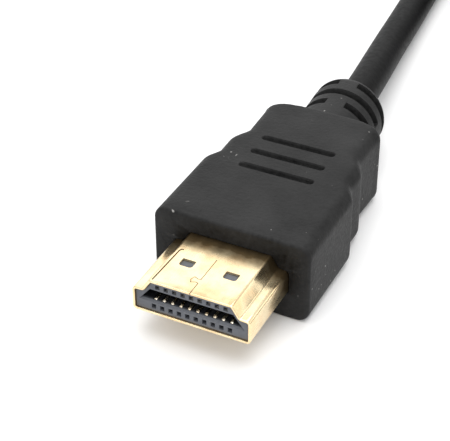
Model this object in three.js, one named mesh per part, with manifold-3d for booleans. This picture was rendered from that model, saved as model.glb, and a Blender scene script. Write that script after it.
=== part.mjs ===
// A thin video cable with a moulded plug at each end, its unseen length wound into a coil.
// Millimetres, +Z up. The near plug lies on the floor with its mating face towards -Y.
import * as THREE from "three";
import { mergeVertices } from "three/addons/utils/BufferGeometryUtils.js";
import Module from "manifold-3d";

const wasm = await Module();
wasm.setup();

// Plug shell: a folded sheet tube, wide below and narrower above its shoulders
const shellWidth = 13.9;
const shellHeight = 4.45;
const shellTopWidth = 9.7;
const shellWall = 0.28;
const shellReach = 9.5;
const shellTuck = 3.2;
const shellSideTop = 0.3;
const shellKinkDepth = 1.2;
const shellKinkHeight = 0.85;
const shellKinkRadius = 0.3;
const shellBottomRadius = 0.45;
const shellTopRadius = 0.4;
const shellShoulderRadius = 0.5;
const windowWidth = 1.6;
const windowLength = 1.25;
const windowSpacing = 5.2;
const windowSetback = 3.8;

// Contact carrier: the plastic block inside the shell
const carrierClearance = 0.08;
const carrierSetback = 0.25;
const slotWidth = 12.4;
const slotTopWidth = 9.8;
const slotBottomHeight = -0.45;
const slotTopHeight = 0.85;
const slotDepth = 8.2;
const lipDepth = 0.55;
const pocketFloor = -1.6;
const pocketSill = -1.0;
const pocketRoof = 1.6;
const pocketLintel = 1.1;

// Contacts: spring strips that lie in the pockets and bend into the slot
const contactPitch = 1.0;
const lowerContactCount = 10;
const upperContactCount = 9;
const contactWidth = 0.4;
const contactThickness = 0.2;
const contactClearance = 0.06;
const contactTuck = 1.4;
const contactRise = 0.12;
const contactNoseLength = 0.35;
const contactNoseDrop = 0.4;
const contactCrestLength = 0.9;
const contactArmLength = 3.6;

// Overmould: the moulded body that the hand holds
const bodyWidth = 18.9;
const bodyHeight = 10.1;
const bodyBelowShell = 5.65;
const bodyEdgeRadius = 1.5;
const bodyLength = 26.7;
const frontLength = 11.6;
const waistWidth = 16.9;
const waistLength = 2.6;
const middleWidth = 17.0;
const middleLength = 2.4;
const neckWidth = 14.6;
const neckLength = 3.2;
const tailWidth = 15.1;
const bodyRearRadius = 1.6;
const bodyClearance = 0.1;

// Grip grooves across the top and bottom faces
const grooveCount = 3;
const grooveFirst = 11.8;
const groovePitch = 3.15;
const grooveWidth = 0.9;
const grooveLength = 9.2;
const grooveDepth = 0.6;

// Strain relief, moulded on the back of the body, with staggered ring slots that let it bend
const reliefDiameter = 9.9;
const reliefLength = 10.5;
const reliefEndRadius = 2.4;
const slotRingCount = 3;
const slotRingFirst = 2.9;
const slotRingPitch = 2.55;
const slotRingWidth = 1.1;
const slotRingDepth = 1.3;
const slotBridgeWidth = 2.6;

// Cable, coil and tie
const cableDiameter = 4.7;
const cordGap = 0.3;
const tubeSides = 10;
const coilMeanRadius = 24.4;
const coilColumns = 3;
const coilLayers = 2;
const coilCentre = new THREE.Vector2(22, 95);
const coilEdgeRadius = 1.4;
const leadAngle = 184;
const tailAngle = -8;
const tailStraight = 9;
const floorGap = 0.05;
const tieAngle = 60;
const tieWidth = 9;
const tieThickness = 0.55;
const tieGap = 0.15;

// Fineness of the round solids, and how far a cutter runs past the face that it cuts
const cornerSteps = 3;
const bevelSteps = 3;
const waistSteps = 4;
const reliefSides = 28;
const reliefEndSteps = 4;
const coilSides = 40;
const leadSteps = 12;
const tailSteps = 10;
const overshoot = 1;
const mergeTolerance = 1e-4;

const materials = {
  gold: new THREE.MeshStandardMaterial({ color: 0xe3c26f, roughness: 0.28, metalness: 1 }),
  carrier: new THREE.MeshStandardMaterial({ color: 0x5f6167, roughness: 0.6, metalness: 0 }),
  contact: new THREE.MeshStandardMaterial({ color: 0xd9c58e, roughness: 0.3, metalness: 1 }),
  mould: new THREE.MeshStandardMaterial({ color: 0x3c3c3c, roughness: 0.7, metalness: 0 }),
  jacket: new THREE.MeshStandardMaterial({ color: 0x343434, roughness: 0.6, metalness: 0 }),
  tie: new THREE.MeshStandardMaterial({ color: 0x1c1c1e, roughness: 0.9, metalness: 0 }),
};

// Solid from a closed geometry, with shared vertices merged
function solid(geometry) {
  geometry.deleteAttribute("normal");
  geometry.deleteAttribute("uv");
  const merged = mergeVertices(geometry, mergeTolerance);
  return new wasm.Manifold(new wasm.Mesh({
    numProp: 3,
    vertProperties: new Float32Array(merged.attributes.position.array),
    triVerts: new Uint32Array(merged.index.array),
  }));
}

function geometryOf(manifold) {
  const mesh = manifold.getMesh();
  const geometry = new THREE.BufferGeometry();
  geometry.setAttribute("position", new THREE.BufferAttribute(mesh.vertProperties, 3));
  geometry.setIndex(new THREE.BufferAttribute(mesh.triVerts, 1));
  return geometry;
}

// Box solid from its lowest and highest corners
function block(x0, x1, y0, y1, z0, z1) {
  const geometry = new THREE.BoxGeometry(x1 - x0, y1 - y0, z1 - z0);
  geometry.translate((x0 + x1) / 2, (y0 + y1) / 2, (z0 + z1) / 2);
  return solid(geometry);
}

// Outline in X and Z, extruded along Y from y0 to y1
function alongY(points, y0, y1) {
  const shape = new THREE.Shape(points);
  const geometry = new THREE.ExtrudeGeometry(shape, { depth: y1 - y0, bevelEnabled: false });
  geometry.rotateX(Math.PI / 2);
  geometry.translate(0, y1, 0);
  return solid(geometry);
}

// Outline with each corner rounded: corners are [x, z, radius]
function rounded(corners, steps = cornerSteps) {
  const points = [];
  corners.forEach(([x, z, radius], index) => {
    const before = corners[(index + corners.length - 1) % corners.length];
    const after = corners[(index + 1) % corners.length];
    const corner = new THREE.Vector2(x, z);
    if (!radius) {
      points.push(corner);
      return;
    }
    const back = new THREE.Vector2(before[0] - x, before[1] - z).normalize();
    const ahead = new THREE.Vector2(after[0] - x, after[1] - z).normalize();
    const half = Math.acos(THREE.MathUtils.clamp(back.dot(ahead), -1, 1)) / 2;
    const reach = radius / Math.tan(half);
    const start = corner.clone().addScaledVector(back, reach);
    const end = corner.clone().addScaledVector(ahead, reach);
    const middle = back.clone().add(ahead).normalize();
    const centre = corner.clone().addScaledVector(middle, radius / Math.sin(half));
    const from = start.clone().sub(centre);
    const to = end.clone().sub(centre);
    const turn = Math.atan2(from.x * to.y - from.y * to.x, from.dot(to));
    for (let step = 0; step <= steps; step += 1) {
      const arm = from.clone().rotateAround(new THREE.Vector2(), (turn * step) / steps);
      points.push(centre.clone().add(arm));
    }
  });
  return points;
}

// Outline moved inwards by a distance, each edge parallel to itself; points run anticlockwise
function inset(points, distance) {
  return points.map((point, index) => {
    const before = points[(index + points.length - 1) % points.length];
    const after = points[(index + 1) % points.length];
    const first = point.clone().sub(before).normalize();
    const second = after.clone().sub(point).normalize();
    const normal = new THREE.Vector2(-first.y - second.y, first.x + second.x).normalize();
    const spread = normal.dot(new THREE.Vector2(-first.y, first.x));
    return point.clone().addScaledVector(normal, distance / spread);
  });
}

// Outer section of the shell, anticlockwise from the bottom left
function shellOutline() {
  const half = shellWidth / 2;
  const kink = half - shellKinkDepth;
  const top = shellTopWidth / 2;
  const right = [
    [half, -shellHeight / 2, shellBottomRadius],
    [half, shellSideTop + shellShoulderRadius, shellShoulderRadius],
    [kink, shellKinkHeight, shellKinkRadius],
    [top, shellHeight / 2, shellTopRadius],
  ];
  const left = right.map(([x, z, radius]) => [-x, z, radius]).reverse();
  return rounded([...right, ...left]);
}

const windowOffsets = [-windowSpacing / 2, windowSpacing / 2];

function shellSolid() {
  const outer = shellOutline();
  const length = shellReach + shellTuck;
  const inside = alongY(inset(outer, shellWall), -overshoot, length + overshoot);
  let tube = alongY(outer, 0, length).subtract(inside);
  for (const x of windowOffsets) {
    tube = tube.subtract(block(
      x - windowWidth / 2, x + windowWidth / 2,
      windowSetback, windowSetback + windowLength,
      shellHeight / 2 - 2 * shellWall, shellHeight,
    ));
  }
  return tube;
}

// X of contact number index of a row, counted from the left
function contactX(index, count) {
  return (index - (count - 1) / 2) * contactPitch;
}

const contactStart = carrierSetback + lipDepth;
const carrierEnd = shellReach + shellTuck;

// Plastic block with the slot, and for each contact a pocket open to the front and a groove
function carrierSolid() {
  const front = carrierSetback;
  const outline = inset(shellOutline(), shellWall + carrierClearance);
  let carrier = alongY(outline, front, carrierEnd);
  const slot = [
    [-slotWidth / 2, slotBottomHeight], [slotWidth / 2, slotBottomHeight],
    [slotTopWidth / 2, slotTopHeight], [-slotTopWidth / 2, slotTopHeight],
  ].map(([x, z]) => new THREE.Vector2(x, z));
  carrier = carrier.subtract(alongY(slot, front - overshoot, front + slotDepth));
  const half = contactWidth / 2 + contactClearance;
  const slotEnd = front + slotDepth;
  const pocketEnd = slotEnd + contactTuck + contactClearance;
  const slotMiddle = (slotBottomHeight + slotTopHeight) / 2;
  const rows = [
    { count: lowerContactCount, pocket: [pocketFloor, pocketSill], groove: [pocketFloor, slotMiddle] },
    { count: upperContactCount, pocket: [pocketLintel, pocketRoof], groove: [slotMiddle, pocketRoof] },
  ];
  for (const { count, pocket, groove } of rows) {
    for (let index = 0; index < count; index += 1) {
      const x = contactX(index, count);
      carrier = carrier.subtract(block(x - half, x + half, front - overshoot, pocketEnd, ...pocket));
      carrier = carrier.subtract(block(x - half, x + half, contactStart, slotEnd, ...groove));
    }
  }
  return carrier;
}

// Strip seen from the side: flat at the back, an arm that rises into the slot, a nose turned down
function contactProfile(height) {
  const front = contactStart + contactClearance;
  const crest = front + contactNoseLength;
  const arm = crest + contactCrestLength;
  const lower = [
    [front, height - contactNoseDrop], [crest, height], [arm, height], [arm + contactArmLength, 0],
    [carrierSetback + slotDepth + contactTuck, 0],
  ];
  const upper = lower.map(([y, z]) => [y, z + contactThickness]).reverse();
  return [...lower, ...upper].map(([y, z]) => new THREE.Vector2(y, z));
}

// Contact geometry round x = 0; side is 1 for the lower row and -1 for the upper one
function contactGeometry(side) {
  const seat = side > 0 ? pocketFloor + contactClearance : pocketRoof - contactClearance;
  const slotFace = side > 0 ? slotBottomHeight : slotTopHeight;
  const height = Math.abs(slotFace - seat) - contactThickness + contactRise;
  const shape = new THREE.Shape(contactProfile(height));
  const geometry = new THREE.ExtrudeGeometry(shape, { depth: contactWidth, bevelEnabled: false });
  geometry.translate(0, 0, -contactWidth / 2);
  const turn = new THREE.Matrix4().set(0, 0, 1, 0, 1, 0, 0, 0, 0, 1, 0, 0, 0, 0, 0, 1);
  geometry.applyMatrix4(turn);
  if (side < 0) geometry.rotateY(Math.PI);
  geometry.translate(0, 0, seat);
  return geometry;
}

// Smooth step between two half-widths along one side of the body
function waistCurve(x0, y0, x1, y1) {
  const points = [];
  for (let step = 1; step <= waistSteps; step += 1) {
    const part = step / waistSteps;
    const ease = (1 - Math.cos(Math.PI * part)) / 2;
    points.push([x0 + (x1 - x0) * ease, y0 + (y1 - y0) * part]);
  }
  return points;
}

// Plan of the body from its front to its back, less the edge radius that the bevel adds
function bodyPlan() {
  const start = shellReach - bodyEdgeRadius * 2;
  const waistStart = shellReach + frontLength;
  const waistEnd = waistStart + waistLength;
  const neckStart = waistEnd + middleLength;
  const neckEnd = neckStart + neckLength;
  const side = [
    [bodyWidth / 2, start],
    [bodyWidth / 2, waistStart],
    ...waistCurve(bodyWidth / 2, waistStart, waistWidth / 2, waistEnd),
    [middleWidth / 2, neckStart],
    ...waistCurve(middleWidth / 2, neckStart, neckWidth / 2, neckEnd),
    [tailWidth / 2, reliefStart, bodyRearRadius],
  ];
  const left = side.map(([x, y, radius]) => [-x, y, radius]).reverse();
  return inset(rounded([...side, ...left]), bodyEdgeRadius);
}

const bodyBottom = -bodyBelowShell;
const bodyTop = bodyBottom + bodyHeight;
const bodyMiddle = (bodyBottom + bodyTop) / 2;
const reliefStart = shellReach + bodyLength;
const plugLength = reliefStart + reliefLength;

// Solid turned about the plug's long axis from [radius, distance behind the body] pairs
function turned(profile) {
  const points = profile.map(([radius, distance]) => new THREE.Vector2(radius, distance));
  const lathe = new THREE.LatheGeometry(points, reliefSides);
  lathe.translate(0, reliefStart, bodyMiddle);
  return solid(lathe);
}

// Ring slot number index, left uncut at two bridges: above and below, or at the two sides
function ringSlot(index) {
  const radius = reliefDiameter / 2;
  const start = slotRingFirst + index * slotRingPitch - slotRingWidth / 2;
  const end = start + slotRingWidth;
  const [inner, outer] = [radius - slotRingDepth, radius + overshoot];
  const ring = turned([[inner, start], [outer, start], [outer, end], [inner, end], [inner, start]]);
  const half = slotBridgeWidth / 2;
  const [across, up] = index % 2 ? [outer + overshoot, half] : [half, outer + overshoot];
  const from = reliefStart + start - overshoot;
  const to = reliefStart + end + overshoot;
  return ring.subtract(block(-across, across, from, to, bodyMiddle - up, bodyMiddle + up));
}

// Round strain relief that closes in on the cable in an arc
function reliefSolid() {
  const radius = reliefDiameter / 2;
  const profile = [[0, -bodyEdgeRadius], [radius, -bodyEdgeRadius]];
  for (let step = 0; step <= reliefEndSteps; step += 1) {
    const angle = (Math.PI / 2) * (step / reliefEndSteps);
    const pulled = reliefEndRadius * (1 - Math.cos(angle));
    profile.push([radius - pulled, reliefLength - reliefEndRadius * (1 - Math.sin(angle))]);
  }
  profile.push([0, reliefLength]);
  let relief = turned(profile);
  for (let index = 0; index < slotRingCount; index += 1) relief = relief.subtract(ringSlot(index));
  return relief;
}

// Body with its strain relief, less the grip grooves on both faces and the pocket for the shell
function mouldSolid() {
  const plan = new THREE.ExtrudeGeometry(new THREE.Shape(bodyPlan()), {
    depth: bodyHeight - 2 * bodyEdgeRadius,
    bevelEnabled: true,
    bevelThickness: bodyEdgeRadius,
    bevelSize: bodyEdgeRadius,
    bevelSegments: bevelSteps,
  });
  plan.translate(0, 0, bodyBottom + bodyEdgeRadius);
  const ahead = block(
    -bodyWidth, bodyWidth, -bodyLength, shellReach, bodyBottom - overshoot, bodyTop + overshoot,
  );
  let mould = solid(plan).subtract(ahead).add(reliefSolid());
  const half = grooveLength / 2;
  for (let index = 0; index < grooveCount; index += 1) {
    const start = shellReach + grooveFirst + index * groovePitch - grooveWidth / 2;
    const end = start + grooveWidth;
    const top = block(-half, half, start, end, bodyTop - grooveDepth, bodyTop + overshoot);
    const bottom = block(-half, half, start, end, bodyBottom - overshoot, bodyBottom + grooveDepth);
    mould = mould.subtract(top).subtract(bottom);
  }
  const pocket = inset(shellOutline(), -bodyClearance);
  return mould.subtract(alongY(pocket, shellReach - overshoot, shellReach + shellTuck + bodyClearance));
}

function named(name, geometry, material) {
  const mesh = new THREE.Mesh(geometry, material);
  mesh.name = name;
  return mesh;
}

// One plug: its origin is at the middle of the shell's mating face, its cable leaves towards +Y
function plug(prefix) {
  const group = new THREE.Group();
  group.add(named(`${prefix}_shell`, geometryOf(shellSolid()), materials.gold));
  group.add(named(`${prefix}_contact_carrier`, geometryOf(carrierSolid()), materials.carrier));
  for (const [row, count, side] of [["lower", lowerContactCount, 1], ["upper", upperContactCount, -1]]) {
    for (let index = 0; index < count; index += 1) {
      const name = `${prefix}_${row}_contact_${String(index + 1).padStart(2, "0")}`;
      const contact = named(name, contactGeometry(side), materials.contact);
      contact.position.x = contactX(index, count);
      group.add(contact);
    }
  }
  group.add(named(`${prefix}_overmould`, geometryOf(mouldSolid()), materials.mould));
  return group;
}

// Round tube along a smooth curve through the points
function tube(points, steps) {
  const path = new THREE.CatmullRomCurve3(points, false, "centripetal");
  const section = new THREE.Shape();
  for (let side = 0; side < tubeSides; side += 1) {
    const angle = (2 * Math.PI * side) / tubeSides;
    const [x, y] = [Math.cos(angle) * cableDiameter / 2, Math.sin(angle) * cableDiameter / 2];
    if (side === 0) section.moveTo(x, y);
    else section.lineTo(x, y);
  }
  return new THREE.ExtrudeGeometry(section, { steps, extrudePath: path, bevelEnabled: false });
}

const shellAxis = bodyBelowShell;
const nearFace = -plugLength / 2;
const exitY = nearFace + plugLength + cordGap;
const exitZ = shellAxis + bodyMiddle;
const floorZ = cableDiameter / 2 + floorGap;
const outerTurn = coilMeanRadius + ((coilColumns - 1) / 2) * cableDiameter;
const bundleInner = coilMeanRadius - (coilColumns / 2) * cableDiameter;
const bundleOuter = coilMeanRadius + (coilColumns / 2) * cableDiameter;
const bundleTop = coilLayers * cableDiameter;
const upperZ = bundleTop - cableDiameter / 2;

// Point on the outer turn of the coil at an angle in degrees, and the direction of travel there
function coilPoint(angle, z) {
  const turn = THREE.MathUtils.degToRad(angle);
  return new THREE.Vector3(
    coilCentre.x + outerTurn * Math.cos(turn), coilCentre.y + outerTurn * Math.sin(turn), z,
  );
}

function coilHeading(angle) {
  const turn = THREE.MathUtils.degToRad(angle);
  return new THREE.Vector3(Math.sin(turn), -Math.cos(turn), 0);
}

const leadEnd = coilPoint(leadAngle, floorZ).addScaledVector(coilHeading(leadAngle), -cordGap);
const tailStart = coilPoint(tailAngle, upperZ).addScaledVector(coilHeading(tailAngle), cordGap);

// Route from the near plug to the coil, chosen by hand
const leadPoints = [
  new THREE.Vector3(-0.6, exitY, exitZ),
  new THREE.Vector3(-1.0, 26.7, 4.9),
  new THREE.Vector3(-1.7, 32.7, 4.45),
  new THREE.Vector3(-2.35, 37.7, 4.0),
  new THREE.Vector3(-3.0, 42.7, 3.55),
  new THREE.Vector3(-4.3, 54.7, 2.8),
  new THREE.Vector3(-5.5, 66.7, 2.43),
  new THREE.Vector3(-6.15, 75.5, floorZ),
  new THREE.Vector3(-6.6, 84.0, floorZ),
  leadEnd,
];

// Far plug: before the coil, turned as the near one is
const farFace = new THREE.Vector2(44, 0);
const farExit = new THREE.Vector3(farFace.x, farFace.y + plugLength + cordGap, exitZ);

// Route from the coil to the far plug, chosen by hand
const tailPoints = [
  tailStart,
  tailStart.clone().addScaledVector(coilHeading(tailAngle), tailStraight),
  new THREE.Vector3(48.15, 72.15, 6.2),
  new THREE.Vector3(47.15, 65.2, 5.35),
  new THREE.Vector3(46.1, 59.3, 4.75),
  new THREE.Vector3(45.1, 54.8, 4.6),
  new THREE.Vector3(44.35, 51.0, 4.75),
  new THREE.Vector3(44.05, 49.0, 4.95),
  farExit,
];

// Box solid in the coil's frame, laid along the direction of travel at an angle of the outer turn
function blockAtTurn(angle, along0, along1, across0, across1, z0, z1) {
  const geometry = new THREE.BoxGeometry(across1 - across0, along1 - along0, z1 - z0);
  geometry.translate((across0 + across1) / 2, (along0 + along1) / 2, (z0 + z1) / 2);
  geometry.rotateZ(THREE.MathUtils.degToRad(angle));
  geometry.translate(coilCentre.x, coilCentre.y, 0);
  return solid(geometry);
}

const tieInner = Math.sqrt(bundleInner ** 2 - (tieWidth / 2) ** 2);
const tieFloor = floorGap + tieThickness + tieGap;
const notchLength = Math.sqrt((bundleOuter + cableDiameter) ** 2 - outerTurn ** 2);

// Outer shape of the wound cable, with a notch for each end of the cable and one under it for the tie
function coilSolid() {
  const profile = rounded([
    [bundleInner, floorGap, coilEdgeRadius], [bundleOuter, floorGap, coilEdgeRadius],
    [bundleOuter, bundleTop, coilEdgeRadius], [bundleInner, bundleTop, coilEdgeRadius],
  ]);
  const lathe = new THREE.LatheGeometry([...profile, profile[0].clone()], coilSides);
  lathe.rotateX(Math.PI / 2);
  lathe.translate(coilCentre.x, coilCentre.y, 0);
  const notchFrom = outerTurn - cableDiameter / 2 - cordGap;
  const notchTo = bundleOuter + cableDiameter;
  const notchHeight = cableDiameter + cordGap;
  const leadNotch = blockAtTurn(leadAngle, 0, notchLength, notchFrom, notchTo, -overshoot, notchHeight);
  const tailNotch = blockAtTurn(
    tailAngle, -notchLength, 0, notchFrom, notchTo, bundleTop - notchHeight, bundleTop + overshoot,
  );
  const half = tieWidth / 2 + tieGap;
  const tieNotch = blockAtTurn(
    tieAngle, -half, half, bundleInner - overshoot, bundleOuter + overshoot, -overshoot, tieFloor,
  );
  return solid(lathe).subtract(leadNotch).subtract(tailNotch).subtract(tieNotch);
}

// Section of the tie's outside or inside, a distance out from the bundle that it holds
function tieSection(grow) {
  const [left, right] = [tieInner - grow, bundleOuter + grow];
  const [low, high] = [tieFloor - grow, bundleTop + grow];
  const radius = coilEdgeRadius + grow;
  return rounded([
    [left, low, grow], [right, low, grow], [right, high, radius], [left, high, radius],
  ]);
}

// Flat strap closed round the bundle
function tieSolid() {
  const outer = alongY(tieSection(tieGap + tieThickness), -tieWidth / 2, tieWidth / 2);
  const inner = alongY(tieSection(tieGap), -tieWidth, tieWidth);
  const geometry = geometryOf(outer.subtract(inner));
  geometry.rotateZ(THREE.MathUtils.degToRad(tieAngle));
  geometry.translate(coilCentre.x, coilCentre.y, 0);
  return geometry;
}

const object = new THREE.Group();
const nearPlug = plug("near");
nearPlug.position.set(0, nearFace, shellAxis);
object.add(nearPlug);
const farPlug = plug("far");
farPlug.position.set(farFace.x, farFace.y, shellAxis);
object.add(farPlug);
object.add(named("cable_lead", tube(leadPoints, leadSteps), materials.jacket));
object.add(named("cable_coil", geometryOf(coilSolid()), materials.jacket));
object.add(named("cable_tail", tube(tailPoints, tailSteps), materials.jacket));
object.add(named("cable_tie", tieSolid(), materials.tie));

export default object;
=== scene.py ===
# A thin video cable with a moulded plug at each end, its unseen length wound in a tied coil.
# Shapes are worked out in millimetres and stored in metres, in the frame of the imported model:
# the near plug lies on the floor with its mating face towards -Y.
import math

import bmesh
import bpy
from mathutils import Matrix, Vector


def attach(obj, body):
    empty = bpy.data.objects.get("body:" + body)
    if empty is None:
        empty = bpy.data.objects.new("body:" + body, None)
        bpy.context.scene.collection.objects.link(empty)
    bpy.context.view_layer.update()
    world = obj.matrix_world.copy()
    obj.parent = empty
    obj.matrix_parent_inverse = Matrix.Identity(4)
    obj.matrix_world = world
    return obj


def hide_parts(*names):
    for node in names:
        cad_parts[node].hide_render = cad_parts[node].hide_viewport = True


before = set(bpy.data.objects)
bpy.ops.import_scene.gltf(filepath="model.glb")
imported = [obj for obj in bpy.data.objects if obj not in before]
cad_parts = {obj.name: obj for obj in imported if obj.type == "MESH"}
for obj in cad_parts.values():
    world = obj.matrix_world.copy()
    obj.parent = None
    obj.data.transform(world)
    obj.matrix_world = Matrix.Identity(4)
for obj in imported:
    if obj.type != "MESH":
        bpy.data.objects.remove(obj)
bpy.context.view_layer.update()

MM = 0.001

# Camera, solved from the photograph. Place in millimetres, angles in degrees, the rest in pixels
CAMERA_PLACE = Vector((52.358, -120.004, 95.965))
CAMERA_AZIMUTH, CAMERA_ELEVATION, CAMERA_ROLL = 26.707, 35.583, -0.377
CAMERA_FOCAL = 1359.5
CAMERA_CENTRE = (221.456, 218.593)
IMAGE_WIDTH, IMAGE_HEIGHT = 450, 441
SENSOR_WIDTH = 36.0

# Plug, from its own origin at the middle of the shell's mating face, its cable towards +Y
SHELL_REACH = 9.5
SHELL_TUCK = 3.2
SHELL_HEIGHT = 4.45
SHELL_WALL = 0.28
SHELL_CORNERS = (  # half width, height, corner radius, from the bottom to the top
    (6.95, -2.225, 0.45), (6.95, 0.8, 0.5), (5.75, 0.85, 0.3), (4.85, 2.225, 0.4),
)
SHELL_LIP = 0.1
SHEET_CUT = 0.4  # deep enough to pass through the sheet
WINDOW_MIDDLE, WINDOW_HALF = 2.6, 0.8
WINDOW_FRONT, WINDOW_REAR = 3.8, 5.05
SEAM_WIDTH, SLIT_WIDTH = 0.08, 0.17
SEAM = ((0, -0.2), (0, 1.0), (0, 1.88), (-0.32, 1.95), (-0.8, 1.72), (-1.0, 2.2), (-0.8, 2.72),
        (-0.32, 2.5), (0, 2.58), (0, 4.0), (0, 6.3))
SLIT = ((-4.62, 0.3), (-4.52, 3.2), (-4.42, 6.1), (-4.3, 6.35), (-4.05, 6.4))
CARRIER_SETBACK = 0.25
CARRIER_GAP = 0.04
CARRIER_EDGE = 0.07
MOUTH_BEVEL = 0.22
SLOT_HALF_WIDTH, SLOT_TOP_HALF_WIDTH = 6.2, 4.9
SLOT_LOW, SLOT_HIGH = -0.6, 0.85
SLOT_DEPTH = 8.2
POCKET_LOW, POCKET_HIGH = (-1.6, -1.0), (1.1, 1.6)
CONTACT_START = 0.6
CONTACT_WIDTH, CONTACT_THICKNESS = 0.4, 0.2
CONTACT_GAP = 0.06
CONTACT_RISE = 0.12
CONTACT_ROWS = (("lower", 10, 1), ("upper", 9, -1))
NOSE = CONTACT_START + CONTACT_GAP
CONTACT_LINE = (  # depth, share of the rise into the slot, drop of the nose
    (9.85, 0, 0), (8.2, 0, 0), (5.71, 0, 0), (4.6, 0.3, 0), (3.2, 0.72, 0), (2.11, 1, 0), (1.4, 1, 0),
    (1.05, 1, 0), (0.85, 1, 0.05), (0.73, 1, 0.15), (NOSE, 1, 0.3), (NOSE, 1, 0.42),
)

BODY_HALF_WIDTH, BODY_HALF_HEIGHT = 9.45, 5.05
BODY_MIDDLE = -0.6
BODY_EDGE = 1.5
BODY_REAR = 36.2
BODY_FRONT_EDGE, BODY_REAR_EDGE = 0.35, 1.6
BODY_WIDTHS = (  # half width, depth
    (BODY_HALF_WIDTH, 21.1), (8.45, 23.7), (8.5, 26.1), (7.3, 29.3), (7.55, BODY_REAR),
)
WAISTS = (0, 2)  # stretches between those that narrow along an S
BODY_QUARTER = BODY_HALF_WIDTH + BODY_HALF_HEIGHT - (2 - math.pi / 2) * BODY_EDGE
RELIEF_RADIUS, RELIEF_LENGTH, RELIEF_END, RELIEF_ROOT = 4.95, 10.5, 2.4, 0.6
RING_STARTS = (2.35, 4.9, 7.45)
RING_WIDTH, RING_DEPTH, RING_BRIDGE = 1.1, 1.3, 1.3
GROOVES = (21.3, 24.45, 27.6)
GROOVE_HALF_WIDTH, GROOVE_HALF_LENGTH, GROOVE_DEPTH = 0.45, 4.6, 0.6

NEAR_PLUG = Vector((0, -23.35, 5.65))
FAR_PLUG = Vector((44, 0, 5.65))

# Cable: its route is the one that the model's lead, coil and tail follow
CABLE = 4.7
FLOOR_Z, UPPER_Z = 2.4, 7.05
EXIT_Z = 5.05
NEAR_EXIT_Y, FAR_EXIT_Y = 23.65, 47.0
COIL_CENTRE = Vector((22, 95, 0))
COIL_MEAN, COIL_COLUMNS = 24.4, 3
COIL_OUTER_TURN = COIL_MEAN + (COIL_COLUMNS - 1) / 2 * CABLE
COIL_INNER, COIL_OUTER, COIL_TOP = 17.35, 31.45, 9.4
LEAD_ANGLE, TAIL_ANGLE, TIE_ANGLE = 184, -8, 60
CROSSING = 90  # angle over which a turn moves one column over
RISE_INWARD = 4.5
TIE_WIDTH, TIE_THICKNESS, TIE_GAP, TIE_FLOOR = 9, 0.55, 0.15, 0.75
PINCH = 0.07  # share of the cable's height that the tie squeezes away
PINCH_NEAR, PINCH_FAR = 5, 18


# Smooth step from 0 to 1 as x goes from low to high
def ease(x, low, high):
    t = min(max((x - low) / (high - low), 0), 1)
    return t * t * (3 - 2 * t)


def camera():
    azimuth, elevation, roll = map(math.radians, (CAMERA_AZIMUTH, CAMERA_ELEVATION, CAMERA_ROLL))
    back = Vector((math.sin(azimuth) * math.cos(elevation),
                   -math.cos(azimuth) * math.cos(elevation), math.sin(elevation)))
    right = Vector((math.cos(azimuth), math.sin(azimuth), 0))
    up = back.cross(right)
    rows = (right * math.cos(roll) + up * math.sin(roll),
            up * math.cos(roll) - right * math.sin(roll), back)
    data = bpy.data.cameras.new("camera")
    data.sensor_width = SENSOR_WIDTH
    data.lens = CAMERA_FOCAL * SENSOR_WIDTH / IMAGE_WIDTH
    data.shift_x = (IMAGE_WIDTH / 2 - CAMERA_CENTRE[0]) / IMAGE_WIDTH
    data.shift_y = (CAMERA_CENTRE[1] - IMAGE_HEIGHT / 2) / IMAGE_WIDTH
    data.clip_start = 0.005
    camera = bpy.data.objects.new("camera", data)
    bpy.context.scene.collection.objects.link(camera)
    camera.matrix_world = Matrix.Translation(CAMERA_PLACE * MM) @ Matrix(rows).transposed().to_4x4()
    bpy.context.scene.camera = camera


camera()


# Painted reflection of the dark moulded body on the gold towards its rear, and the roughness given there
BODY_REFLECTION_COLOR = (0.12, 0.08, 0.035, 1)
REAR_REFLECTION_ROUGHNESS = (0.6, 0.6, 0.6, 1)
DUST_COLOR = (0.45, 0.44, 0.42, 1)
# Painted shade for the inside of the carrier's slot and pockets
HOLE_SHADE_COLOR = (0.004, 0.004, 0.005, 1)


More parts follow.
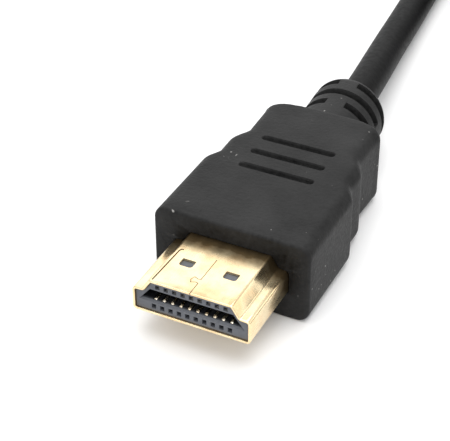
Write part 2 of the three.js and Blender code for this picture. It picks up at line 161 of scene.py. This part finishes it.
# Node tree helper: makes a node and sets its inputs, from a value or from another node's output.
# An input is given by its name, or by i and its number
class Tree:
    def __init__(self, name):
        self.material = bpy.data.materials.new(name)
        self.material.use_nodes = True
        self.nodes = self.material.node_tree.nodes
        self.shader = self.nodes["Principled BSDF"]
        self.place = self.add("ShaderNodeTexCoord").outputs["Object"]
        within = self.add("ShaderNodeTexCoord").outputs["Generated"]
        self.share = self.add("ShaderNodeSeparateXYZ", Vector=within).outputs

    def add(self, kind, settings=(), **inputs):
        node = self.nodes.new(kind)
        for key, value in dict(settings).items():
            setattr(node, key, value)
        self.set(node, inputs)
        return node

    def set(self, node, inputs):
        for key, value in inputs.items():
            socket = node.inputs[int(key[1:]) if key[0] == "i" and key[1:].isdigit() else key]
            if isinstance(value, bpy.types.NodeSocket):
                self.material.node_tree.links.new(value, socket)
            else:
                socket.default_value = value

    def surface(self, **inputs):
        self.set(self.shader, {key.replace("_", " "): value for key, value in inputs.items()})

    def noise(self, scale, detail=3.0, roughness=0.5, stretch=(1, 1, 1)):
        place = self.add("ShaderNodeMapping", Vector=self.place, Scale=stretch)
        noise = self.add("ShaderNodeTexNoise", Vector=place.outputs[0], Scale=scale, Detail=detail,
                         Roughness=roughness)
        return noise.outputs["Fac"]

    def ramp(self, value, *stops):
        node = self.add("ShaderNodeValToRGB", Fac=value)
        elements = node.color_ramp.elements
        while len(elements) < len(stops):
            elements.new(0.5)
        for element, (at, color) in zip(elements, stops):
            element.position = at
            element.color = (*color, 1) if hasattr(color, "__len__") else (color, color, color, 1)
        return node.outputs["Color"]

    # Colour blend of two values or outputs
    def mix(self, factor, first, second):
        return self.add("ShaderNodeMix", {"data_type": "RGBA"}, i0=factor, i6=first, i7=second).outputs[2]

    def times(self, first, second):
        return self.add("ShaderNodeMath", {"operation": "MULTIPLY"}, i0=first, i1=second).outputs[0]

    def plus(self, first, second):
        return self.add("ShaderNodeMath", {"operation": "ADD"}, i0=first, i1=second).outputs[0]

    def bump(self, *layers):
        normal = None
        for height, strength, distance in layers:
            node = self.add("ShaderNodeBump", Strength=strength, Distance=distance, Height=height)
            if normal:
                self.set(node, {"Normal": normal})
            normal = node.outputs["Normal"]
        self.surface(Normal=normal)


# Gold plate on folded sheet: faint stains, a painted reflection of the dark body that browns it
# towards the rear, a slightly uneven gloss and shallow waves
def gold(name, base, stain, roughness, body_reflection):
    tree = Tree(name)
    stains = tree.ramp(tree.noise(420, 4, 0.6), (0.42, 0.0), (0.72, 1.0))
    streaks = tree.noise(900, 2, 0.5, (1, 0.15, 1))
    color = tree.mix(tree.times(stains, 0.65), (*base, 1), (*stain, 1))
    # Painted reflection: towards the rear the gold is browned as if it mirrored the dark body
    ragged = tree.plus(tree.share["Y"], tree.times(tree.noise(450, 4, 0.65), 0.22))
    reflected_body = tree.ramp(ragged, (0.58, 0.0), (0.68, 0.35), (0.78, 1.0))
    color = tree.mix(tree.times(reflected_body, body_reflection), color, BODY_REFLECTION_COLOR)
    gloss = tree.ramp(streaks, (0.3, roughness - 0.05), (0.7, roughness + 0.08))
    gloss = tree.mix(tree.times(reflected_body, body_reflection * 0.5), gloss, REAR_REFLECTION_ROUGHNESS)
    tree.surface(Base_Color=color, Metallic=1.0, Roughness=gloss)
    tree.bump((tree.noise(230, 2), 0.25, 0.0004), (streaks, 0.06, 0.00005))
    return tree.material


# Moulded plastic with a fine spark-eroded grain and soft blotches, and where asked for with specks
# of dust or with painted shade that turns its slot and pockets near black behind its front face
def moulded(name, base, spread, roughness, gloss_level, grain, depth, dust=0.0, hole_shade=0.0):
    tree = Tree(name)
    blotches = tree.noise(160, 4, 0.6)
    speckle = tree.noise(grain, 3, 0.6)
    dark = [c * (1 - spread) for c in base]
    light = [c * (1 + spread) for c in base]
    color = tree.ramp(tree.mix(0.45, blotches, speckle), (0.3, dark), (0.7, light))
    if dust:
        specks = tree.ramp(tree.noise(1500, 1), (0.74, 0.0), (0.78, 1.0))
        patches = tree.ramp(tree.noise(130, 2), (0.5, 0.0), (0.62, 1.0))
        color = tree.mix(tree.times(tree.times(specks, patches), dust), color, DUST_COLOR)
    # Painted shade: behind the front face and below the top the plastic turns near black, standing in for the
    # shade in the slot and pockets
    if hole_shade:
        shaded_inside = tree.times(tree.ramp(tree.share["Y"], (0.022, 0.0), (0.045, 1.0)),
                            tree.ramp(tree.share["Z"], (0.94, 1.0), (0.97, 0.0)))
        color = tree.mix(tree.times(shaded_inside, hole_shade), color, HOLE_SHADE_COLOR)
    gloss = tree.ramp(speckle, (0.3, roughness - 0.07), (0.7, roughness + 0.07))
    tree.surface(Base_Color=color, Roughness=gloss, Specular_IOR_Level=gloss_level)
    tree.bump((speckle, 0.35, depth), (blotches, 0.15, 0.0001))
    return tree.material


# Hook-and-loop strap: fine crossed threads under a haze of loops
def woven(name, base):
    tree = Tree(name)
    threads = tree.add("ShaderNodeTexWave", {"wave_type": "BANDS", "bands_direction": "DIAGONAL"},
                       Vector=tree.place, Scale=900.0, Distortion=1.5, Detail=2.0).outputs["Fac"]
    loops = tree.noise(2600, 4, 0.7)
    light = [c * 3.2 for c in base]
    fibre = tree.mix(0.5, threads, loops)
    color = tree.ramp(fibre, (0.3, base), (0.75, light))
    tree.surface(Base_Color=color, Roughness=0.9, Sheen_Weight=0.4, Sheen_Roughness=0.4)
    tree.bump((fibre, 0.7, 0.0002))
    return tree.material


# The shell's gold carries a strong painted reflection of the dark body; the contacts carry none
GOLD = gold("gold_plate", (0.93, 0.77, 0.49), (0.84, 0.54, 0.26), 0.22, body_reflection=0.95)
CONTACT = gold("contact_plate", (0.93, 0.85, 0.70), (0.75, 0.58, 0.36), 0.25, body_reflection=0.0)
# The carrier gets painted shade in its slot and pockets
CARRIER = moulded("carrier_plastic", (0.088, 0.093, 0.105), spread=0.2, roughness=0.42,
                  gloss_level=0.3, grain=3000, depth=0.00002, hole_shade=0.93)
MOULD = moulded("overmould_plastic", (0.011, 0.011, 0.011), spread=0.85, roughness=0.52,
                gloss_level=0.15, grain=2200, depth=0.00016, dust=0.7)
JACKET = moulded("cable_jacket", (0.004, 0.004, 0.0041), spread=0.2, roughness=0.5,
                 gloss_level=0.08, grain=1400, depth=0.00003)
STRAP = woven("tie_weave", (0.010, 0.010, 0.011))


# Object from vertices in millimetres; edges sharper than an angle stay sharp
def make(name, vertices, faces, material, sharp=32):
    mesh = bpy.data.meshes.new(name)
    mesh.from_pydata([Vector(v) * MM for v in vertices], [], faces)
    turned = bmesh.new()
    turned.from_mesh(mesh)
    bmesh.ops.recalc_face_normals(turned, faces=turned.faces)
    turned.to_mesh(mesh)
    turned.free()
    obj = bpy.data.objects.new(name, mesh)
    bpy.context.scene.collection.objects.link(obj)
    dress(obj, material, sharp)
    return obj


def dress(obj, material, sharp=32):
    obj.data.materials.clear()
    obj.data.materials.append(material)
    obj.data.shade_smooth()
    obj.data.set_sharp_from_angle(angle=math.radians(sharp))


# Vertices and faces of the skin through closed rings, joined end to end or capped
def skin(rings, closed=False):
    count = len(rings[0])
    vertices = [point for ring in rings for point in ring]
    faces = []
    for i in range(len(rings) if closed else len(rings) - 1):
        a, b = i * count, (i + 1) % len(rings) * count
        faces += [(a + k, a + (k + 1) % count, b + (k + 1) % count, b + k) for k in range(count)]
    if not closed:
        faces.append(tuple(range(count))[::-1])
        faces.append(tuple(range(len(vertices) - count, len(vertices))))
    return vertices, faces


# Several skins in one list of vertices and faces
def together(skins):
    vertices, faces = [], []
    for points, polygons in skins:
        start = len(vertices)
        vertices += points
        faces += [tuple(start + k for k in polygon) for polygon in polygons]
    return vertices, faces


# Takes a cutter's volume away from an object
def carve(obj, cutter, material):
    tool = make(obj.name + "_cutter", *cutter, material)
    modifier = obj.modifiers.new("cut", "BOOLEAN")
    modifier.object = tool
    modifier.solver = "EXACT"
    graph = bpy.context.evaluated_depsgraph_get()
    mesh = bpy.data.meshes.new_from_object(obj.evaluated_get(graph))
    obj.modifiers.clear()
    old, obj.data = obj.data, mesh
    mesh.name = obj.name
    bpy.data.meshes.remove(old)
    bpy.data.meshes.remove(tool.data)
    dress(obj, material)


# Outline with each corner rounded: corners are (x, z, radius)
def rounded(corners, steps=8):
    points = []
    for index, (x, z, radius) in enumerate(corners):
        corner = Vector((x, z))
        if radius < 1e-6:
            points.append(corner)
            continue
        back = (Vector(corners[index - 1][:2]) - corner).normalized()
        ahead = (Vector(corners[(index + 1) % len(corners)][:2]) - corner).normalized()
        half = back.angle(ahead) / 2
        middle = corner + (back + ahead).normalized() * (radius / math.sin(half))
        start = corner + back * (radius / math.tan(half)) - middle
        end = corner + ahead * (radius / math.tan(half)) - middle
        turn = math.atan2(start.x * end.y - start.y * end.x, start.dot(end))
        for step in range(steps + 1):
            angle = turn * step / steps
            points.append(middle + Matrix.Rotation(angle, 2) @ start)
    return points


# Anticlockwise outline moved inwards by a distance
def inset(points, distance):
    moved = []
    for index, point in enumerate(points):
        first = (point - points[index - 1]).normalized()
        second = (points[(index + 1) % len(points)] - point).normalized()
        normal = Vector((-first.y - second.y, first.x + second.x)).normalized()
        moved.append(point + normal * (distance / normal.dot(Vector((-first.y, first.x)))))
    return moved


# Ribbon of even width along a line in the plan, from one height to another
def ribbon(line, width, z0, z1):
    line = [Vector(p) for p in line]
    sides = ([], [])
    for index, point in enumerate(line):
        ahead = (line[min(index + 1, len(line) - 1)] - point).normalized()
        back = (point - line[max(index - 1, 0)]).normalized()
        along = (ahead + back).normalized()
        normal = Vector((-along.y, along.x)) * (width / 2 / max(0.5, along.dot(back if index else ahead)))
        sides[0].append(point + normal)
        sides[1].append(point - normal)
    outline = sides[0] + sides[1][::-1]
    return skin([[(p.x, p.y, z) for p in outline] for z in (z0, z1)])


def shell_outline():
    right = [(x, z, radius) for x, z, radius in SHELL_CORNERS]
    left = [(-x, z, radius) for x, z, radius in reversed(SHELL_CORNERS)]
    return rounded(right + left)


# Folded shell with rolled lips, two windows, the seam of its fold and the slit beside its left bend
def shell(name):
    outline = shell_outline()
    length = SHELL_REACH + SHELL_TUCK
    arc = []
    for step in range(5):
        angle = math.radians(22.5 * step)
        arc.append((SHELL_LIP * (1 - math.cos(angle)), SHELL_LIP * (1 - math.sin(angle))))
    outside = [(0, length), (0, 6), (0, 2), *arc]
    profile = outside + [(SHELL_WALL - depth, y) for depth, y in reversed(outside)]
    rings = [[(x, y, z) for x, z in inset(outline, depth)] for depth, y in profile]
    piece = make(name, *skin(rings, closed=True), GOLD)

    top = SHELL_HEIGHT / 2
    windows = []
    for middle in (-WINDOW_MIDDLE, WINDOW_MIDDLE):
        left, right = middle - WINDOW_HALF, middle + WINDOW_HALF
        plan = rounded([(left, WINDOW_FRONT, 0.35), (right, WINDOW_FRONT, 0.35),
                        (right, WINDOW_REAR, 0.1), (left, WINDOW_REAR, 0.1)], 5)
        windows.append(skin([[(p.x, p.y, z) for p in plan] for z in (top - 0.5, top + 0.5)]))
    for cutter in (together(windows), ribbon(SEAM, SEAM_WIDTH, top - SHEET_CUT, top + SHEET_CUT),
                   ribbon(SLIT, SLIT_WIDTH, top - SHEET_CUT, top + SHEET_CUT)):
        carve(piece, cutter, GOLD)
    return piece


def contact_x(index, count):
    return index - (count - 1) / 2


# Plastic block in the shell: a slot with a bevelled mouth, and a pocket and a groove for each contact
def carrier(name):
    outline = inset(shell_outline(), SHELL_WALL + CARRIER_GAP)
    front, back = CARRIER_SETBACK, SHELL_REACH + SHELL_TUCK
    turned = CARRIER_EDGE * 0.3
    profile = [(CARRIER_EDGE, front), (turned, front + turned), (0, front + CARRIER_EDGE), (0, back)]
    rings = [[(x, y, z) for x, z in inset(outline, depth)] for depth, y in profile]
    piece = make(name, *skin(rings), CARRIER)

    slot = [(-SLOT_HALF_WIDTH, SLOT_LOW), (SLOT_HALF_WIDTH, SLOT_LOW),
            (SLOT_TOP_HALF_WIDTH, SLOT_HIGH), (-SLOT_TOP_HALF_WIDTH, SLOT_HIGH)]
    slot_end = front + SLOT_DEPTH
    sill = SLOT_LOW - MOUTH_BEVEL
    wide = [(-SLOT_HALF_WIDTH - 0.05, sill), (SLOT_HALF_WIDTH + 0.05, sill),
            (SLOT_TOP_HALF_WIDTH, SLOT_HIGH + 0.08), (-SLOT_TOP_HALF_WIDTH, SLOT_HIGH + 0.08)]
    cavity = skin([[(x, front - 0.05, z) for x, z in wide],
                   [(x, front + MOUTH_BEVEL, z) for x, z in slot],
                   [(x, slot_end, z) for x, z in slot]])
    half = CONTACT_WIDTH / 2 + CONTACT_GAP
    pockets = []
    for row, count, side in CONTACT_ROWS:
        low, high = POCKET_LOW if side > 0 else POCKET_HIGH
        deep = (low - 0.004, SLOT_LOW + 0.2) if side > 0 else (SLOT_HIGH - 0.2, high + 0.004)
        stops = [(front - 0.5, half, low, high), (CONTACT_START, half, low, high),
                 (CONTACT_START + 0.004, half + 0.004, *deep), (slot_end - 0.1, half + 0.004, *deep),
                 (slot_end - 0.096, half, low, high), (slot_end + 1.46, half, low, high)]
        for index in range(count):
            x = contact_x(index, count)
            pockets.append(skin([[(x - reach, y, z0), (x + reach, y, z0),
                                  (x + reach, y, z1), (x - reach, y, z1)]
                                 for y, reach, z0, z1 in stops]))
    carve(piece, cavity, CARRIER)
    carve(piece, together(pockets), CARRIER)
    return piece


# Spring strip: flat at the back, an arm that rises into the slot, a rounded nose turned down
def contact(name, x, side):
    seat = POCKET_LOW[0] + CONTACT_GAP if side > 0 else CONTACT_GAP - POCKET_HIGH[1]
    face = SLOT_LOW if side > 0 else -SLOT_HIGH
    rise = face - seat - CONTACT_THICKNESS + CONTACT_RISE
    low = seat + CONTACT_THICKNESS / 2
    points = [Vector((y, low + (rise * share - drop))) for y, share, drop in CONTACT_LINE]
    rings = []
    for index, point in enumerate(points):
        along = points[min(index + 1, len(points) - 1)] - points[max(index - 1, 0)]
        normal = Vector((-along.y, along.x)).normalized()
        narrow = 1 - 0.25 * ease(index, len(points) - 5, len(points) - 1)
        half = CONTACT_WIDTH / 2 * narrow
        thick = CONTACT_THICKNESS / 2
        section = rounded([(half, -thick, 0.07), (half, thick, 0.07),
                           (-half, thick, 0.07), (-half, -thick, 0.07)], 3)
        ring = []
        for across, up in section:
            y, z = point + normal * up
            ring.append((x + side * across, y, side * z))
        rings.append(ring)
    return make(name, *skin(rings), CONTACT, 50)


# Half width of the moulded body at a depth
def body_width(y):
    if y <= BODY_WIDTHS[0][1]:
        return BODY_WIDTHS[0][0]
    for index, ((w0, y0), (w1, y1)) in enumerate(zip(BODY_WIDTHS, BODY_WIDTHS[1:])):
        if y <= y1:
            part = (y - y0) / (y1 - y0)
            if index in WAISTS:
                part = (1 - math.cos(math.pi * part)) / 2
            return w0 + (w1 - w0) * part
    return BODY_WIDTHS[-1][0]


# Point a share of the way along a quarter of a rounded rectangle, from its top to its side
def quarter(width, height, radius, share):
    radius = min(radius, width, height)
    top, arc = width - radius, radius * math.pi / 2
    s = share * (top + arc + height - radius)
    if s <= top:
        return s, height
    if s <= top + arc:
        angle = (s - top) / radius
        return top + radius * math.sin(angle), height - radius + radius * math.cos(angle)
    return width, height - radius - (s - top - arc)


# Where the points of a body ring stand on a quarter, close together at the ends of its cuts. The
# stops are in millimetres along the quarter of the body's front
def ring_shares():
    stops = [0, 0.6, 1.1, 1.6, 1.9, 2.1, 2.22, 2.34, 2.46, 2.6, 2.8, 3.2, 3.7]
    stops += [4.0 + 0.11 * k for k in range(16)]
    stops += [6.1, 6.7, 7.3] + [7.95 + 0.295 * k for k in range(9)]
    stops += [10.7, 11.0, 11.2, 11.32, 11.44, 11.56, 11.7, 11.9, 12.2, 12.7, 13.3]
    return [s / BODY_QUARTER for s in stops]


# Depth of a cut at a distance outside its edge, its lip and its foot rounded
def cut(distance, depth):
    return depth * ease(-distance, -0.09, 0.17)


# Distance outside the nearest grip groove, in the plan
def groove_distance(x, y):
    over = max(abs(x) - (GROOVE_HALF_LENGTH - GROOVE_HALF_WIDTH), 0)
    return min(math.hypot(over, y - middle) for middle in GROOVES) - GROOVE_HALF_WIDTH


# Distance outside the nearest ring slot; each ring is bridged above and below, or at its sides
def ring_distance(x, z, y):
    nearest = RELIEF_LENGTH
    for index, start in enumerate(RING_STARTS):
        along = abs(y - BODY_REAR - start - RING_WIDTH / 2) - RING_WIDTH / 2
        bridge = RING_BRIDGE - abs(z if index % 2 else x)
        nearest = min(nearest, max(along, bridge))
    return nearest


# Sections of the body and its relief from front to back: depth, half width, half height, radius
def body_stations():
    stations = []
    for step in range(5):
        angle = math.radians(22.5 * step)
        inward = BODY_FRONT_EDGE * (1 - math.sin(angle))
        ahead = SHELL_REACH + BODY_FRONT_EDGE * (1 - math.cos(angle))
        stations.append((ahead, BODY_HALF_WIDTH - inward,
                         BODY_HALF_HEIGHT - inward, BODY_EDGE - inward))
    depths = [11.5, 13.5, 15.5, 17.5, 19.5, 22.3, 22.7, 23.1, 23.5, 25.3, 25.7, 26.1, 26.5, 26.8]
    depths += [28.5, 28.8, 29.05, 29.3, 30.3, 31.5, 33, 34.2]
    groove = (0.62, 0.54, 0.47, 0.41, 0.35, 0.27, 0.12)
    depths += [middle + side * step for middle in GROOVES for side in (-1, 1) for step in groove]
    stations += [(y, body_width(y), BODY_HALF_HEIGHT, BODY_EDGE) for y in sorted(depths)]

    corner, root = BODY_REAR_EDGE, RELIEF_ROOT
    rear_width = body_width(BODY_REAR)
    turn = []
    for step in range(7):
        angle = math.radians(15 * step)
        turn.append((BODY_REAR - corner + corner * math.sin(angle),
                     rear_width - corner + corner * math.cos(angle)))
    for step in range(6):
        angle = math.radians(18 * step)
        turn.append((BODY_REAR + root - root * math.cos(angle),
                     RELIEF_RADIUS + root - root * math.sin(angle)))
    for y, width in turn:
        share = ease(rear_width - width, 0, rear_width - RELIEF_RADIUS)
        stations.append((y, width, BODY_HALF_HEIGHT + (RELIEF_RADIUS - BODY_HALF_HEIGHT) * share,
                         BODY_EDGE + (RELIEF_RADIUS - BODY_EDGE) * share))

    ring = (0.64, 0.57, 0.5, 0.44, 0.38, 0.3, 0.1)
    reaches = [1.2, 1.6] + [start + RING_WIDTH / 2 + side * step
                            for start in RING_STARTS for side in (-1, 1) for step in ring]
    relief = [(reach, RELIEF_RADIUS) for reach in sorted(reaches) if reach < RELIEF_LENGTH - RELIEF_END]
    for reach in sorted(reaches):
        if reach >= RELIEF_LENGTH - RELIEF_END:
            angle = math.asin(1 - (RELIEF_LENGTH - reach) / RELIEF_END)
            relief.append((reach, RELIEF_RADIUS - RELIEF_END * (1 - math.cos(angle))))
    for degrees in (22, 32, 42, 52, 61, 70):
        angle = math.radians(degrees)
        relief.append((RELIEF_LENGTH - RELIEF_END * (1 - math.sin(angle)),
                       RELIEF_RADIUS - RELIEF_END * (1 - math.cos(angle))))
    relief += [(10.5, 3.02), (10.68, 2.75), (10.9, 2.57), (11.15, 2.47), (11.38, 2.43),
               (11.4, 2.36), (11.2, 2.36), (9.4, 2.36)]
    stations += [(BODY_REAR + reach, radius, radius, radius) for reach, radius in relief]
    return stations


# Moulded body and strain relief in one skin, from the shell's pocket to the cable's hole. The relief
# leans sideways by a distance at its end, the way the cable pulls it
def overmould(name, lean):
    shares = ring_shares()
    back = [1.0] + shares[:0:-1]
    quarters = ((1, 1, shares), (1, -1, back), (-1, -1, shares), (-1, 1, back))
    rings = []
    for y, width, height, radius in body_stations():
        pulled = lean * max(0, (y - BODY_REAR) / RELIEF_LENGTH) ** 1.6
        ring = []
        for side, up, row in quarters:
            for share in row:
                x, z = quarter(width, height, radius, share)
                if y < BODY_REAR - 1:
                    z -= cut(groove_distance(x, y), GROOVE_DEPTH)
                elif BODY_REAR + 2 < y < BODY_REAR + 9:
                    shrink = 1 - cut(ring_distance(x, z, y), RING_DEPTH) / math.hypot(x, z)
                    x, z = x * shrink, z * shrink
                ring.append((side * x + pulled, y, BODY_MIDDLE + up * z))
        rings.append(ring)
    pocket = inset(shell_outline(), -0.05)
    mouth = [ray_hit(pocket, math.atan2(z, x)) for x, _, z in rings[0]]
    floor = (SHELL_REACH + SHELL_TUCK + 0.1, 1)
    lip = ((SHELL_REACH + 0.06, 1), (SHELL_REACH, 1.01))
    inner = [[(x * grow, y, z * grow) for x, z in mouth] for y, grow in (floor, *lip)]
    return make(name, *skin(inner + rings), MOULD, 50)


# Where a ray from the middle of an outline leaves it
def ray_hit(outline, angle):
    ray = Vector((math.cos(angle), math.sin(angle)))
    for index, end in enumerate(outline):
        start = outline[index - 1]
        edge = end - start
        across = ray.x * edge.y - ray.y * edge.x
        if abs(across) < 1e-9:
            continue
        along = (start.x * ray.y - start.y * ray.x) / across
        reach = (start.x * edge.y - start.y * edge.x) / across
        if -1e-6 <= along <= 1 + 1e-6 and reach > 0:
            return ray.x * reach, ray.y * reach
    raise ValueError("the ray misses the outline")


# Sets a piece in its plug's place, attaches it to the root and hides the solid it stands for
def settle(piece, origin, node):
    for vertex in piece.data.vertices:
        vertex.co += origin * MM
    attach(piece, "root")
    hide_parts(node)
    return piece


# All the pieces of one plug
def plug(prefix, origin, lean):
    pieces = [settle(shell(f"{prefix}_folded_shell"), origin, f"{prefix}_shell"),
              settle(carrier(f"{prefix}_slotted_carrier"), origin, f"{prefix}_contact_carrier"),
              settle(overmould(f"{prefix}_moulded_grip", lean), origin, f"{prefix}_overmould")]
    for row, count, side in CONTACT_ROWS:
        for index in range(count):
            strip = contact(f"{prefix}_{row}_spring_{index + 1:02d}", contact_x(index, count), side)
            pieces.append(settle(strip, origin, f"{prefix}_{row}_contact_{index + 1:02d}"))
    return pieces


# Smooth line through points, evenly paced whatever their spacing
def smooth(points, step):
    points = [points[0] * 2 - points[1], *points, points[-1] * 2 - points[-2]]
    line = []
    for a, b, c, d in zip(points, points[1:], points[2:], points[3:]):
        ta, tb, tc = ((q - p).length ** 0.5 for p, q in ((a, b), (b, c), (c, d)))
        first = ((b - a) / ta - (c - a) / (ta + tb) + (c - b) / tb) * tb
        last = ((c - b) / tb - (d - b) / (tb + tc) + (d - c) / tc) * tb
        count = max(1, round((c - b).length / step))
        for k in range(count):
            t = k / count
            line.append(b * (2 * t**3 - 3 * t**2 + 1) + first * (t**3 - 2 * t**2 + t)
                        + c * (3 * t**2 - 2 * t**3) + last * (t**3 - t**2))
    return line + [points[-2]]


def coil_point(angle, radius, z):
    turn = math.radians(angle)
    return COIL_CENTRE + Vector((radius * math.cos(turn), radius * math.sin(turn), z))


# 1 where the tie holds a point of the cable, falling to 0 on both sides of it
def held(point):
    arm = Vector((point.x - COIL_CENTRE.x, point.y - COIL_CENTRE.y))
    turned = math.degrees(math.atan2(arm.y, arm.x)) - TIE_ANGLE
    away = math.radians(abs((turned + 180) % 360 - 180)) * arm.length
    return 1 - ease(away, PINCH_NEAR, PINCH_FAR)


# Turns of the coil, clockwise from above: inwards on the floor, up inside the ring, outwards on top
def coil_line():
    last = COIL_COLUMNS - 1
    bottom = 360 * COIL_COLUMNS
    top_start = bottom + LEAD_ANGLE - TAIL_ANGLE
    squeezed = CABLE / 2 * (1 - PINCH)
    lift = (TIE_FLOOR - TIE_GAP + 0.02 + squeezed - FLOOR_Z, COIL_TOP - squeezed - UPPER_Z)
    line = []
    for turned in range(0, top_start + 360 * last + 1, 4):
        if turned < bottom:
            crossed = sum(ease(turned, 360 * k - CROSSING, 360 * k) for k in range(1, last + 1))
        else:
            crossed = last - sum(ease(turned, top_start + 360 * k, top_start + 360 * k + CROSSING)
                                 for k in range(last))
        inward = ease(turned, bottom - 130, bottom - 85) - ease(turned, bottom - 50, bottom)
        radius = COIL_OUTER_TURN - crossed * CABLE - inward * RISE_INWARD
        climbed = ease(turned, bottom - 100, bottom - 30)
        point = coil_point(LEAD_ANGLE - turned, radius, FLOOR_Z + (UPPER_Z - FLOOR_Z) * climbed)
        point.z += held(point) * (lift[0] + (lift[1] - lift[0]) * climbed)
        line.append(point)
    return line


# The lead's, the coil's and the tail's points, in the order that the cable runs
def cable_route():
    lead = [Vector(p) for p in (
        (-0.55, 22.4, EXIT_Z), (-0.6, NEAR_EXIT_Y, EXIT_Z), (-1.0, 26.7, 4.9), (-1.7, 32.7, 4.45),
        (-2.35, 37.7, 4.0), (-3.0, 42.7, 3.55), (-4.3, 54.7, 2.8), (-5.5, 66.7, 2.43),
        (-6.15, 75.5, FLOOR_Z), (-6.6, 84.0, FLOOR_Z))]
    coil = coil_line()
    tail = [Vector(p) for p in (
        (49.5, 81.7, 6.85), (48.15, 72.15, 6.2), (47.15, 65.2, 5.35), (46.1, 59.3, 4.75),
        (45.1, 54.8, 4.6), (44.35, 51.0, 4.75), (44.05, 49.0, 4.95), (44, FAR_EXIT_Y, EXIT_Z),
        (44, 45.8, EXIT_Z))]
    return smooth(lead + coil[:1], 1.5)[:-1] + coil[:-1] + smooth(coil[-1:] + tail, 1.5)


# Round tube along a line that is never upright
def cable(name):
    line = cable_route()
    sides = 20
    rings = []
    for index, point in enumerate(line):
        along = line[min(index + 1, len(line) - 1)] - line[max(index - 1, 0)]
        side = along.cross(Vector((0, 0, 1))).normalized()
        up = side.cross(along).normalized()
        up *= 1 - PINCH * held(point)
        rings.append([point + (side * math.cos(a) + up * math.sin(a)) * (CABLE / 2)
                      for a in (2 * math.pi * k / sides for k in range(sides))])
    return make(name, *skin(rings), JACKET, 60), [point * MM for point in line]


# Flat strap wrapped once round the bundle, its end laid over its start on the outer side
def tie(name):
    grow = TIE_GAP + TIE_THICKNESS / 2
    inner = math.sqrt(COIL_INNER**2 - (TIE_WIDTH / 2) ** 2) - grow
    outer, low, high = COIL_OUTER + grow, TIE_FLOOR - grow, COIL_TOP + grow
    loop = rounded([(inner, low, 0.5), (outer, low, 0.5), (outer, high, 1.8), (inner, high, 1.8)], 6)
    first = next(k for k, p in enumerate(loop) if p.x > outer - 0.01 and p.y > 2)
    turn = (loop[first:] + loop[:first])[::-1]
    over = outer + TIE_THICKNESS
    line = [Vector((outer, 6.4)), Vector((outer, 4.0)), Vector((outer, 2.0))]
    line += [p for p in turn if p.x < outer - 0.02 or p.y < 2]
    line += [Vector((outer + 0.12, 7.9)), Vector((over - 0.05, 7.0)), Vector((over, 6.0)),
             Vector((over, 4.0)), Vector((over, 2.6))]
    radial = coil_point(TIE_ANGLE, 1, 0) - COIL_CENTRE
    tangent = Vector((-radial.y, radial.x, 0))
    half, thick = TIE_WIDTH / 2, TIE_THICKNESS / 2
    section = rounded([(half, -thick, 0.2), (half, thick, 0.2), (-half, thick, 0.2), (-half, -thick, 0.2)], 3)
    rings = []
    for index, point in enumerate(line):
        along = line[min(index + 1, len(line) - 1)] - line[max(index - 1, 0)]
        normal = Vector((-along.y, along.x)).normalized()
        ring = []
        for across, up in section:
            r, z = point + normal * up
            ring.append(COIL_CENTRE + radial * r + tangent * across + Vector((0, 0, z)))
        rings.append(ring)
    return make(name, *skin(rings), STRAP, 40)


lead, lead_path = cable("video_cable")
strap = tie("coil_strap")
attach(strap, "root")
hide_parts("cable_tie")

plug("near", NEAR_PLUG, -0.6)
far_pieces = plug("far", FAR_PLUG, 0)

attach(lead, "root")
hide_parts("cable_lead", "cable_coil", "cable_tail")


def floor():
    half = 3000
    tree = Tree("floor_white")
    tint = tree.ramp(tree.noise(3, 2), (0.3, 0.72), (0.7, 0.74))
    tree.surface(Base_Color=tint, Roughness=0.6)
    make("floor", [(-half, -half, 0), (half, -half, 0), (half, half, 0), (-half, half, 0)],
                  [(0, 1, 2, 3)], tree.material)


def softbox(name, place, aim, size, power):
    data = bpy.data.lights.new(name, "AREA")
    data.shape = "RECTANGLE"
    data.size, data.size_y = size
    data.energy = power
    lamp = bpy.data.objects.new(name, data)
    bpy.context.scene.collection.objects.link(lamp)
    place, aim = Vector(place), Vector(aim)
    lamp.location = place
    lamp.rotation_euler = (aim - place).to_track_quat("-Z", "Y").to_euler()


floor()
softbox("overhead", (0.05, 0.05, 0.78), (0.0, 0.0, 0.0), (0.8, 0.8), 6.5)
softbox("behind", (-0.45, 0.85, 0.55), (0.0, 0.0, 0.02), (1.1, 0.6), 2.0)
softbox("side", (0.62, 0.66, 0.20), (0.0, 0.0, 0.02), (0.5, 0.35), 0.45)
softbox("front", (0.15, -0.75, 0.45), (0.0, 0.0, 0.0), (0.9, 0.5), 3.2)

world = bpy.data.worlds.new("studio")
world.use_nodes = True
world.node_tree.nodes["Background"].inputs["Color"].default_value = (1, 1, 1, 1)
world.node_tree.nodes["Background"].inputs["Strength"].default_value = 0.88
bpy.context.scene.world = world
bpy.context.scene.view_settings.view_transform = "Standard"
